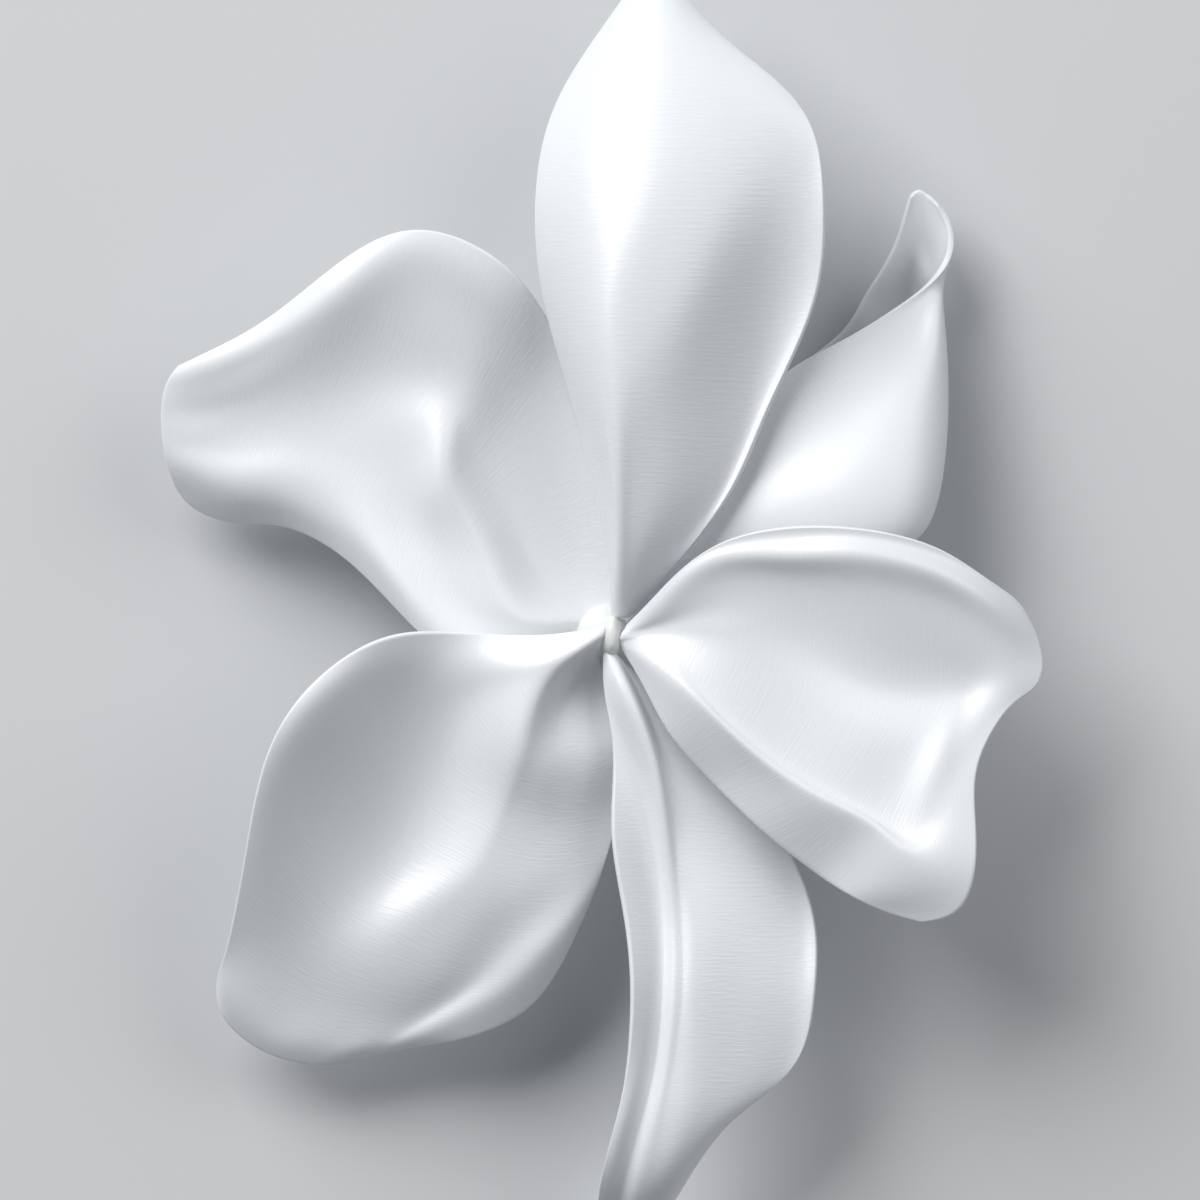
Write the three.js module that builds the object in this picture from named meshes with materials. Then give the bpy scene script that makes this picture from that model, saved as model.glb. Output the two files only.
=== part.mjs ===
import * as THREE from 'three';

// A six-petalled white frangipani flower, picked and laid face up on a flat surface.
//
// Millimetres, +Z up. The origin is the centre of the flat lower end of the corolla tube, on the
// axis of the flower. +Y runs up the top petal and +X to the right, as the flower is looked down on.
//
// Each petal is a thin sheet. Its middle surface is drawn as a handful of named lines that run from
// the claw, where the petal leaves the tube, to the tip: its margins, and the folds, crests and
// hollows between them. A smooth surface passes through all of them, and is given its thickness
// evenly on both sides.

// ---- driving dimensions ------------------------------------------------------------------------

const PETAL_THICKNESS = 0.62;
const TUBE_END_RADIUS = 2.6;
const TUBE_WAIST_RADIUS = 2.25;
const TUBE_MOUTH_RADIUS = 2.65;
const TUBE_SHOULDER_HEIGHT = 11.2;
const NUB_TOP_HEIGHT = 13.7;

const FLOOR_HEIGHT = 0;

// ---- fineness of the facets --------------------------------------------------------------------

const STEPS_ALONG_PETAL = 24;
const STEPS_ACROSS_PETAL = 18;
const STEPS_ROUND_TUBE = 24;
const SMOOTHING_SWEEPS = 30;

// ---- the petals' lines, claw to tip ------------------------------------------------------------

// The top petal lies over both its neighbours. A narrow pleat runs up its left side, widens into a
// broad plateau towards the tip, and the right side slopes down to a turned-up rim.
const PETAL_TOP_LINES = {
  left_margin: [
    [0.05, 2.2, 12.3], [-0.15, 5.5, 12.9], [-1.1, 10.5, 12.9], [-2.75, 17, 12.4], [-4.75, 24, 12.2],
    [-5.4, 31, 12.7], [-4.2, 37.5, 11.8], [-1.2, 42.7, 11.4], [1.6, 46.6, 11.3],
  ],
  left_slope: [
    [0.26, 2.14, 12.56], [0.02, 5.5, 13.7], [-0.62, 10.5, 14.1], [-1.95, 17, 14.4], [-3.4, 24, 14.6],
    [-4, 31, 14.5], [-3, 37.6, 13.4], [-0.3, 43, 12.6], [1.9, 47, 11.6],
  ],
  pleat_foot: [
    [0.47, 2.1, 12.74], [0.28, 5.5, 14.6], [-0.05, 10.5, 15.6], [-1.05, 17, 16.6], [-1.6, 24, 17.2],
    [-1.6, 31, 16.8], [-0.8, 37.8, 15.3], [0.9, 43.3, 13.6], [2.2, 47.4, 11.8],
  ],
  pleat: [
    [0.68, 2.08, 12.84], [0.62, 5.5, 15.2], [0.4, 10.5, 17], [0, 17, 18.2], [0, 24, 18.5],
    [1.4, 31, 17.9], [2, 38, 16.3], [2.3, 43.6, 14.3], [2.6, 47.7, 12],
  ],
  plateau: [
    [0.88, 2.08, 12.86], [1.1, 5.5, 15.2], [1.3, 10.5, 16.9], [1.7, 17, 18.1], [2.9, 24, 18.4],
    [4.2, 31, 17.9], [5.2, 38, 16.3], [3.8, 43.7, 14.4], [3, 47.85, 12.1],
  ],
  right_slope: [
    [1.08, 2.1, 12.8], [1.8, 5.45, 15], [3.4, 10.4, 16.3], [4.8, 16.9, 16.8], [6.2, 24, 17.4],
    [8, 31, 17], [8.2, 38, 15.9], [5.2, 43.6, 14.2], [3.4, 47.8, 12.1],
  ],
  right_trough: [
    [1.28, 2.14, 12.66], [2.6, 5.35, 14.5], [5.8, 10.2, 14.9], [8.6, 16.7, 14.4], [10.2, 24, 14.8],
    [11.4, 31, 15.6], [10.9, 37.9, 15.3], [6.4, 43.3, 13.8], [3.8, 47.6, 12.1],
  ],
  right_rim: [
    [1.48, 2.21, 12.44], [3.4, 5.2, 13.9], [7.4, 10.2, 13.9], [10.4, 16.6, 13.6], [13, 24, 14],
    [13.8, 31, 15.1], [12.7, 37.7, 14.8], [7.4, 42.9, 13.4], [4.2, 47.2, 12],
  ],
  right_margin: [
    [1.67, 2.3, 12.15], [4.1, 5.05, 13.4], [8.3, 10.3, 14], [11.2, 16.6, 13.9], [14.4, 24, 14.4],
    [15.1, 31, 15.4], [13.6, 37.5, 14.5], [8.2, 42.5, 13], [4.5, 46.7, 11.9],
  ],
};

// The upper right petal is rolled along its length, like a calla. Its near half is looked at from
// outside, and behind the keel its far half passes underneath and lies on the surface.
const PETAL_UPPER_RIGHT_LINES = {
  near_margin: [
    [1.23, 1.6, 11.1], [3, 6.4, 11.5], [6, 12, 11.8], [9.8, 16.6, 12], [13, 19.5, 11.4], [16.8, 21.6, 10],
    [20.2, 23.7, 8.2], [22.4, 25.3, 7.2], [23.95, 27.2, 6.2], [24.25, 29.3, 5.2], [23.4, 31.2, 4.6],
  ],
  near_lip: [
    [1.34, 1.51, 11.17], [3.7, 6.2, 11.65], [7, 11.4, 11.7], [11, 15.6, 11.8], [14.4, 18.2, 11.2],
    [17.9, 20.3, 10], [20.9, 22.8, 8.1], [22.7, 24.9, 7], [23.9, 26.9, 5.8], [24, 29.3, 4.8],
    [23.1, 31.5, 4.5],
  ],
  near_face: [
    [1.44, 1.42, 11.2], [4.6, 5.8, 11.8], [8.6, 10.2, 11.9], [13.2, 13.2, 12.1], [16.8, 15.4, 11.6],
    [19.7, 18.2, 10.4], [21.9, 21.4, 8.5], [23.05, 24.3, 7.1], [23.75, 26.6, 5.2], [23.6, 29.3, 4.4],
    [22.8, 31.8, 4.4],
  ],
  near_belly: [
    [1.53, 1.32, 11.2], [5.5, 5.2, 11.6], [10.2, 8.4, 12.4], [15.6, 10.2, 13.1], [19.4, 12.2, 12.6],
    [21.6, 15.8, 11], [22.9, 19.8, 8.9], [23.4, 23.6, 7.2], [23.5, 26.4, 4.5], [23.1, 29.3, 4],
    [22.5, 32, 4.3],
  ],
  keel: [
    [1.61, 1.22, 11.17], [6.3, 4.4, 10.95], [11.8, 6.2, 11.9], [18, 6.8, 12.4], [21.9, 8.4, 11.6],
    [23.4, 13, 9.9], [23.8, 18, 7.8], [23.6, 22.8, 6.3], [23.1, 26.4, 3.7], [22.6, 29.4, 3.7],
    [22.2, 32.2, 4.3],
  ],
  far_turn: [
    [1.68, 1.11, 11.1], [6.2, 3.9, 9.8], [11.6, 5.6, 9.8], [17.6, 6.6, 8.8], [21.4, 8.6, 7.4],
    [23, 13.2, 6], [23.4, 18.2, 4.4], [23.2, 22.9, 3.8], [22.5, 26.8, 3], [22.1, 29.5, 3.6],
    [21.9, 32.25, 4.3],
  ],
  far_belly: [
    [1.74, 0.99, 10.98], [5.4, 4.2, 9], [9.4, 7.4, 7.4], [14.2, 10.4, 5.4], [17.8, 13.4, 2.6],
    [20.4, 17.4, 1], [21.4, 21.4, 0.22], [21.6, 24.6, 0.9], [21.5, 27.6, 2.8], [21.5, 29.7, 3.7],
    [21.6, 32.1, 4.3],
  ],
  far_margin: [
    [1.8, 0.87, 10.85], [4.4, 5.2, 9], [6.6, 10.8, 7.2], [10, 16, 5.6], [13.4, 19.6, 4],
    [16.5, 22.2, 3.6], [18, 24.5, 3.5], [19.2, 26.3, 3.7], [20.2, 28.2, 3.9], [20.8, 30, 4.1],
    [21.35, 31.8, 4.3],
  ],
};

// The right petal lies over both its neighbours. Three crests fan out from its claw, with a hollow
// valley below the top one, and its outer margin has a notch between two lobes.
const PETAL_RIGHT_LINES = {
  top_margin: [
    [1.4, 1.25, 12.95], [3.3, 3.3, 14.4], [6.9, 6.5, 15.85], [12, 8, 16.2], [17.5, 7.95, 16.5],
    [22.8, 6.7, 15.7], [26.4, 4.5, 14.6], [28.5, 2.9, 13.3], [29.3, 1.8, 12.6],
  ],
  top_strip: [
    [1.37, 1.12, 13], [3.4, 3.1, 14.5], [7.1, 6.15, 15.9], [12.3, 7.1, 16.15], [17.6, 7.1, 16.5],
    [22.9, 5.8, 15.75], [26.4, 3.9, 14.8], [28.7, 2.3, 13.55], [29.8, 0.95, 12.75],
  ],
  top_crest: [
    [1.33, 0.98, 13.05], [3.58, 2.75, 14.6], [7.45, 5.55, 16], [12.7, 6, 16.5], [17.8, 6, 16.95],
    [23, 4.7, 16.2], [26.5, 2.8, 15.2], [28.9, 1.1, 13.85], [30.3, -0.1, 12.9],
  ],
  valley_wall: [
    [1.26, 0.78, 13.11], [3.85, 2.15, 14.45], [8, 4.4, 15.5], [13.1, 4.7, 15.75], [18.3, 4.3, 16.15],
    [23.4, 2.9, 15.4], [26.7, 1, 14.7], [29, -0.8, 13.75], [30.65, -1.7, 12.95],
  ],
  valley_floor: [
    [1.19, 0.56, 13.14], [4.1, 1.45, 14.3], [8.6, 2.5, 15.05], [13.6, 2.3, 15], [18.8, 1.2, 15.2],
    [23.7, -0.2, 14.6], [26.6, -1.6, 14.1], [28.4, -2.7, 13.9], [30.1, -3.4, 13.3],
  ],
  valley_rise: [
    [1.13, 0.35, 13.13], [4.2, 0.8, 14.3], [8.7, 0.8, 14.95], [13.7, -0.8, 14.6], [18.9, -3.2, 14.4],
    [23.5, -3.8, 14.1], [25.2, -4.4, 14.1], [26.4, -5, 14.4], [28.2, -4.9, 14],
  ],
  middle_crest: [
    [1.07, 0.14, 13.08], [4.15, 0.1, 14.35], [8.4, -1.2, 14.95], [13.2, -4, 15.05], [18.2, -6.3, 15.35],
    [21.7, -7.5, 15.4], [23.2, -8.4, 15.8], [24.4, -9, 15.6], [26.1, -8.6, 15.2],
  ],
  plateau: [
    [1.02, -0.07, 12.99], [3.9, -0.7, 14.5], [7.05, -4.1, 15.35], [11.2, -7.6, 15.55],
    [15.5, -10.3, 15.85], [19, -12.3, 16.05], [21.4, -13.6, 16.5], [23.9, -12.6, 16.5],
    [25.8, -12.4, 16.1],
  ],
  lower_crest: [
    [0.98, -0.29, 12.86], [3.4, -1.6, 14.5], [6.6, -4.7, 15.8], [10.6, -8.4, 16.1], [14.8, -11.1, 16.5],
    [18.4, -13, 16.75], [20.8, -15, 17.2], [23.4, -16, 17.2], [25.8, -16.2, 16.8],
  ],
  lower_slope: [
    [0.95, -0.51, 12.69], [2.9, -2.25, 14.2], [5.8, -5.4, 15.15], [9.5, -9, 15.2], [13.4, -12, 15.8],
    [17, -14.4, 15.8], [19, -17, 16.2], [21.9, -18.2, 16.5], [24.6, -19.2, 16.4],
  ],
  lower_margin: [
    [0.93, -0.73, 12.48], [2.35, -3.3, 13.2], [4.2, -6.8, 13.7], [7.1, -10.1, 13.4], [10.6, -13.5, 14],
    [14.5, -16.6, 13.9], [17, -18.15, 14.8], [19.6, -19.35, 15.2], [22, -20, 15.6],
  ],
};

// The bottom petal is narrow. A pleat runs down its left side with a gutter beside it, and its right
// half lies under the right petal. Its tip rests on the surface.
const PETAL_BOTTOM_LINES = {
  left_margin: [
    [-0.45, -1.5, 12.2], [-0.4, -4, 12.3], [0.1, -8.5, 12.6], [0, -13.8, 13.4], [0.85, -19.5, 13.7],
    [1.35, -25, 14.1], [1, -30.5, 13.6], [0.05, -35, 13], [-1, -40, 9.7], [0, -43.1, 0.25],
  ],
  gutter: [
    [-0.3, -1.42, 12.33], [0, -4, 12.65], [0.9, -8.5, 12.4], [1.2, -13.7, 12.7], [2.2, -19.5, 12.75],
    [2.5, -25, 13.25], [1.9, -30.5, 13.2], [0.8, -35, 12.9], [-0.3, -40.2, 9.6], [0.25, -43.3, 0.25],
  ],
  pleat_foot: [
    [-0.15, -1.37, 12.42], [0.55, -4, 13.1], [1.8, -8.5, 12.6], [2.7, -13.6, 12.1], [3.5, -19.5, 11.95],
    [3.6, -25, 12.5], [3, -30.5, 12.4], [1.8, -35.1, 12.2], [0.5, -40.4, 9.3], [0.5, -43.5, 0.25],
  ],
  pleat: [
    [0, -1.34, 12.46], [1.2, -4.02, 13.35], [2.75, -8.5, 13.2], [3.6, -13.5, 12.75], [4.25, -19.5, 12.45],
    [4.3, -25, 13.05], [3.7, -30.5, 13], [2.6, -35.2, 12.7], [1.2, -40.6, 9.6], [0.8, -43.65, 0.25],
  ],
  pleat_drop: [
    [0.15, -1.34, 12.44], [1.6, -4.12, 12.75], [3.2, -8.6, 12.75], [4.15, -13.6, 12.4],
    [4.9, -19.5, 12.4], [5, -25, 13], [4.4, -30.5, 13.05], [3.4, -35.3, 12.8], [1.9, -40.7, 9.7],
    [1.1, -43.7, 0.25],
  ],
  second_fold: [
    [0.3, -1.37, 12.35], [1.9, -4.25, 11.95], [3.65, -8.75, 12.1], [5, -13.7, 11.9], [5.8, -19.5, 12.5],
    [5.9, -25, 13.1], [5.8, -30.6, 13.1], [4.6, -35.4, 12.8], [2.6, -40.6, 9.6], [1.4, -43.7, 0.25],
  ],
  face: [
    [0.44, -1.43, 12.19], [2.35, -4.4, 11.5], [4.5, -8.95, 11.6], [6.7, -13.8, 11.3], [7.8, -19.6, 11.9],
    [8, -25, 12.4], [8, -30.7, 12.4], [5.7, -35.4, 12.5], [3.2, -40.5, 9.4], [1.7, -43.6, 0.25],
  ],
  right_face: [
    [0.57, -1.52, 11.97], [2.9, -4.65, 11.15], [5.8, -9.2, 11.1], [8.7, -13.9, 10.9], [10.4, -19.6, 10.9],
    [10.6, -25, 11.4], [10.2, -30.7, 11.5], [6.6, -35.2, 12.1], [3.8, -40.3, 9.1], [2, -43.45, 0.25],
  ],
  right_rim: [
    [0.7, -1.64, 11.7], [3.55, -4.9, 10.85], [7, -9.4, 10.7], [10.4, -13.9, 10.7], [13, -19.5, 10.1],
    [13, -25, 10.6], [12, -30.5, 10.7], [7.5, -34.8, 11.6], [4.2, -40, 8.7], [2.3, -43.2, 0.25],
  ],
  right_margin: [
    [0.82, -1.8, 11.4], [4.2, -5.1, 10.6], [7.9, -9.6, 10.4], [11.8, -13.8, 10.6], [14.35, -19.4, 10.3],
    [14.5, -25, 10.8], [13, -30.3, 10.4], [8.3, -34.3, 11.1], [4.55, -39.6, 8.3], [2.55, -42.9, 0.25],
  ],
};

// The lower left petal is a broad spoon. Its upper margin is rolled at the claw, a crest runs
// diagonally down its middle, and a small ridge follows its inner margin.
const PETAL_LOWER_LEFT_LINES = {
  outer_margin: [
    [-0.95, 0.85, 12.95], [-4.5, 0.35, 12.4], [-9.5, 0.45, 11.8], [-15.5, 0.4, 14], [-20.8, -2.6, 15.4],
    [-24.5, -8, 15.2], [-26.2, -15.5, 12.2], [-27.4, -21.4, 8.8], [-28, -23.6, 7.5], [-28.1, -25, 6.6],
  ],
  outer_rim: [
    [-0.97, 0.65, 13.1], [-4.6, -0.5, 13], [-9.6, -0.8, 12.1], [-15.2, -1.6, 13.1], [-19.8, -4.2, 14.9],
    [-23.4, -9.6, 14.2], [-25, -16.8, 11.4], [-26.4, -22.2, 8.5], [-27.5, -24.9, 7.3],
    [-27.9, -26.6, 6.3],
  ],
  cup_wall: [
    [-0.98, 0.45, 13.19], [-4.6, -1.3, 13.5], [-9.4, -2.4, 12.1], [-14.3, -4.4, 11.3],
    [-17.6, -8.2, 11.3], [-20.6, -13, 10.9], [-22.6, -19, 9.7], [-24.8, -23.6, 8], [-26.3, -26.4, 6.9],
    [-27, -27.9, 5.9],
  ],
  cup_floor: [
    [-0.99, 0.25, 13.22], [-4.5, -2, 13.6], [-8.8, -4.6, 11.9], [-11.9, -8.6, 9.8], [-14.4, -13.2, 8.7],
    [-17, -17.2, 8.4], [-20, -21, 8.5], [-22.6, -25, 7.4], [-24.5, -27.7, 6.5], [-25.6, -29, 5.5],
  ],
  crest: [
    [-1, 0.05, 13.18], [-4.35, -2.65, 13.3], [-7, -7, 12.9], [-8.6, -11, 11.1], [-10.8, -15.4, 10],
    [-13.6, -18.4, 9.3], [-17.4, -22.4, 8.3], [-20.2, -26, 7], [-22.4, -28.5, 6.3], [-23.9, -29.8, 5.3],
  ],
  crest_drop: [
    [-1.02, -0.15, 13.07], [-4.1, -3.05, 12.3], [-5.8, -7.9, 12.6], [-7.2, -11.9, 11.3],
    [-9.2, -16.4, 10.5], [-11.8, -19.6, 9.5], [-15, -23.4, 8.2], [-17.8, -26.6, 6.8], [-20.2, -28.9, 6.1],
    [-22.2, -30.2, 5.2],
  ],
  hollow: [
    [-1.05, -0.35, 12.89], [-3.4, -3.4, 11], [-4.4, -8.2, 11.8], [-5.4, -12.4, 10.9], [-7.4, -17, 10.4],
    [-9.8, -20.6, 9.3], [-12.4, -24.2, 7.9], [-15.6, -27, 6.6], [-18.2, -29, 6], [-20.4, -30.3, 5.1],
  ],
  inner_face: [
    [-1.09, -0.55, 12.64], [-2.3, -3.6, 10.5], [-2.8, -8.2, 11], [-3.4, -12.6, 10.2], [-5, -17.3, 10.1],
    [-7.4, -21.4, 9], [-10, -24.6, 7.6], [-13.6, -27.2, 6.5], [-16.2, -28.8, 5.9], [-18.6, -30.05, 5],
  ],
  inner_rim: [
    [-1.13, -0.75, 12.34], [-1.2, -3.6, 10.2], [-1, -7.9, 10.4], [-1.2, -12.2, 9.4], [-2, -17, 9.4],
    [-4.6, -21.4, 9.5], [-7.6, -24.8, 8.2], [-11.6, -27.2, 6.9], [-14.2, -28.5, 6.1],
    [-16.8, -29.55, 5.2],
  ],
  inner_margin: [
    [-1.18, -0.95, 12], [-0.3, -3.5, 10], [0.6, -7.2, 10], [0.6, -11.6, 8.8], [-0.9, -16.8, 8.9],
    [-3, -21.8, 8.4], [-5.9, -26.2, 6.9], [-10, -28.3, 6.2], [-12.6, -28.8, 5.7], [-15, -29.1, 5.3],
  ],
};

// The left petal lies lowest, under both its neighbours. A crest runs out from the throat, the lower
// margin rolls down to the surface, and the upper margin has a raised lip.
const PETAL_LEFT_LINES = {
  lower_margin: [
    [-2.71, 0.48, 8.5], [-6.2, -1.2, 10.1], [-11, -1.2, 10.2], [-14.6, 1.5, 8.8], [-17.4, 4.4, 7.6],
    [-20.2, 6.7, 6.6], [-23.6, 8.2, 5.6], [-27, 8.45, 4.6], [-29.9, 9.5, 4.6], [-31.2, 11.2, 5.6],
  ],
  lower_roll: [
    [-2.62, 0.85, 8.55], [-6.5, -0.1, 10.4], [-11.3, 0.6, 10.5], [-15, 3.6, 9.8], [-17.6, 6.4, 8.9],
    [-20.4, 8.6, 8], [-23.8, 9.9, 7.4], [-27, 9.9, 6.6], [-29.9, 10.8, 6], [-31.6, 12, 6.1],
  ],
  lower_face: [
    [-2.47, 1.2, 8.6], [-6.7, 1, 10.5], [-11.1, 2.6, 10.3], [-14.9, 6, 9.6], [-17.4, 8.6, 9.1],
    [-20.2, 10.8, 8.5], [-23.6, 11.8, 8.1], [-26.9, 11.6, 7.6], [-29.8, 12.2, 7], [-31.95, 13, 6.5],
  ],
  crest_foot: [
    [-2.31, 1.5, 8.6], [-6.5, 1.9, 10.1], [-10, 5, 10.2], [-13.6, 8.8, 9.6], [-15.6, 12, 9.3],
    [-19.4, 13.2, 8.6], [-23, 13.8, 8.1], [-26.6, 13.4, 7.6], [-29.7, 13.6, 7.2], [-32.15, 14.1, 6.8],
  ],
  crest: [
    [-2.08, 1.8, 8.6], [-6, 2.9, 9.4], [-8.4, 7.2, 9.2], [-11.9, 11.2, 10.5], [-13, 15.4, 10.4],
    [-17.8, 16.4, 9], [-22, 16.4, 8.5], [-26.1, 15.4, 7.8], [-29.5, 14.9, 7.4], [-32.25, 15.2, 7],
  ],
  upper_slope: [
    [-1.8, 2.07, 8.6], [-5, 4.2, 8.8], [-7, 9, 8.7], [-10.2, 13.4, 9.6], [-11.7, 17.9, 9.9],
    [-16.4, 19.4, 9.7], [-21, 18.9, 9.3], [-25.6, 17.2, 8.3], [-29.4, 16.2, 7.6], [-32.25, 16.3, 7.2],
  ],
  upper_face: [
    [-1.5, 2.31, 8.6], [-3.6, 5.2, 8.4], [-5.5, 10.4, 8.4], [-8.4, 15.6, 9.2], [-10.5, 20.2, 10],
    [-15.2, 22.4, 10.5], [-20.2, 21.2, 10.3], [-25.2, 18.8, 9], [-29.3, 17.4, 8], [-32.15, 17.3, 7.4],
  ],
  upper_hollow: [
    [-1.2, 2.47, 8.55], [-2.2, 5.9, 8.3], [-3.8, 11.7, 8.3], [-6.6, 17.6, 9.1], [-9.3, 22.4, 10.3],
    [-14.2, 25.2, 11.3], [-19.6, 23.4, 11.2], [-24.9, 20.3, 9.6], [-29.3, 18.5, 8.4], [-31.9, 18.2, 7.6],
  ],
  upper_lip: [
    [-0.85, 2.61, 8.5], [-0.7, 6.3, 8.3], [-2, 12.8, 8.4], [-4.9, 19.4, 9.2], [-8.2, 24.4, 10.8],
    [-13.6, 27.6, 11.9], [-19.1, 25.4, 11.7], [-24.6, 21.6, 10], [-29.2, 19.5, 8.7], [-31.5, 18.9, 7.8],
  ],
  upper_margin: [
    [-0.48, 2.71, 8.45], [0.8, 6.5, 8.3], [-0.3, 13.8, 8.6], [-3.5, 20.8, 9.4], [-7, 26.2, 11.1],
    [-13, 29.2, 11.8], [-18.7, 27.4, 11.4], [-24.3, 23.1, 9.8], [-29.1, 20.45, 8.6], [-30.9, 19.5, 7.9],
  ],
};

// ---- smooth surfaces ---------------------------------------------------------------------------

// The control points of the uniform cubic B-spline that passes through the given points, with its
// two end points held. Each sweep brings every inner control point closer to its place.
function controlPoints(points) {
  const control = points.map((point) => point.clone());
  for (let sweep = 0; sweep < SMOOTHING_SWEEPS; sweep += 1) {
    for (let i = 1; i < points.length - 1; i += 1) {
      control[i].copy(points[i]).multiplyScalar(6);
      control[i].sub(control[i - 1]).sub(control[i + 1]).divideScalar(4);
    }
  }
  return control;
}

// The reflection of a neighbour through an end point, which lets a spline reach that end.
function pastEnd(end, neighbour) {
  return end.clone().multiplyScalar(2).sub(neighbour);
}

// The point at a place between 0 and 1 along the B-spline of the given control points.
function splinePoint(control, place) {
  const last = control.length - 1;
  const span = Math.min(Math.floor(place * last), last - 1);
  const t = place * last - span;
  const before = span > 0 ? control[span - 1] : pastEnd(control[0], control[1]);
  const after = span < last - 1 ? control[span + 2] : pastEnd(control[last], control[last - 1]);
  const point = new THREE.Vector3();
  point.addScaledVector(before, (1 - t) ** 3 / 6);
  point.addScaledVector(control[span], (3 * t ** 3 - 6 * t ** 2 + 4) / 6);
  point.addScaledVector(control[span + 1], (-3 * t ** 3 + 3 * t ** 2 + 3 * t + 1) / 6);
  point.addScaledVector(after, t ** 3 / 6);
  return point;
}

// Rows of points on a petal's middle surface. Every row crosses the petal from its first line to
// its last one.
function middleRows(lines) {
  const controlLines = Object.values(lines).map((line) =>
    controlPoints(line.map((point) => new THREE.Vector3(...point))));
  const rows = [];
  for (let i = 0; i <= STEPS_ALONG_PETAL; i += 1) {
    const crossing = controlLines.map((control) => splinePoint(control, i / STEPS_ALONG_PETAL));
    const controlAcross = controlPoints(crossing);
    const row = [];
    for (let j = 0; j <= STEPS_ACROSS_PETAL; j += 1) {
      row.push(splinePoint(controlAcross, j / STEPS_ACROSS_PETAL));
    }
    rows.push(row);
  }
  return rows;
}

// ---- the petal sheets --------------------------------------------------------------------------

const PETAL_ROW_LENGTH = STEPS_ACROSS_PETAL + 1;
const PETAL_FACE_POINTS = PETAL_ROW_LENGTH * (STEPS_ALONG_PETAL + 1);

// The triangles of one face of a petal, as point numbers.
function faceTriangles() {
  const triangles = [];
  for (let i = 0; i < STEPS_ALONG_PETAL; i += 1) {
    for (let j = 0; j < STEPS_ACROSS_PETAL; j += 1) {
      const a = i * PETAL_ROW_LENGTH + j;
      const b = a + 1;
      const c = b + PETAL_ROW_LENGTH;
      const d = a + PETAL_ROW_LENGTH;
      triangles.push([a, b, c], [a, c, d]);
    }
  }
  return triangles;
}

// The point numbers round the edge of a face, in the order in which its triangles run.
function edgeLoop() {
  const loop = [];
  for (let j = 0; j < STEPS_ACROSS_PETAL; j += 1) {
    loop.push(j);
  }
  for (let i = 0; i < STEPS_ALONG_PETAL; i += 1) {
    loop.push(i * PETAL_ROW_LENGTH + STEPS_ACROSS_PETAL);
  }
  for (let j = STEPS_ACROSS_PETAL; j > 0; j -= 1) {
    loop.push(STEPS_ALONG_PETAL * PETAL_ROW_LENGTH + j);
  }
  for (let i = STEPS_ALONG_PETAL; i > 0; i -= 1) {
    loop.push(i * PETAL_ROW_LENGTH);
  }
  return loop;
}

function geometryOf(points, triangles) {
  const geometry = new THREE.BufferGeometry();
  const coordinates = points.flatMap((point) => point.toArray());
  geometry.setAttribute('position', new THREE.Float32BufferAttribute(coordinates, 3));
  geometry.setIndex(triangles.flat());
  geometry.computeVertexNormals();
  return geometry;
}

// A closed sheet of even thickness. Both faces are split into triangles alike, a band joins them
// round the edge, and what would dip below the floor is laid flat on it.
function petalSheet(lines) {
  const middle = middleRows(lines).flat();
  const triangles = faceTriangles();
  const normals = geometryOf(middle, triangles).getAttribute('normal');
  const faceAt = (offset) => middle.map((point, i) => {
    const moved = new THREE.Vector3().fromBufferAttribute(normals, i).multiplyScalar(offset).add(point);
    moved.z = Math.max(moved.z, FLOOR_HEIGHT);
    return moved;
  });
  const points = [...faceAt(PETAL_THICKNESS / 2), ...faceAt(-PETAL_THICKNESS / 2)];
  const backTriangles = triangles.map(([a, b, c]) => [c, b, a].map((i) => i + PETAL_FACE_POINTS));
  const loop = edgeLoop();
  const bandTriangles = loop.flatMap((a, i) => {
    const b = loop[(i + 1) % loop.length];
    return [[b, a, a + PETAL_FACE_POINTS], [b, a + PETAL_FACE_POINTS, b + PETAL_FACE_POINTS]];
  });
  return geometryOf(points, [...triangles, ...backTriangles, ...bandTriangles]);
}

// ---- the corolla tube --------------------------------------------------------------------------

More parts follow.
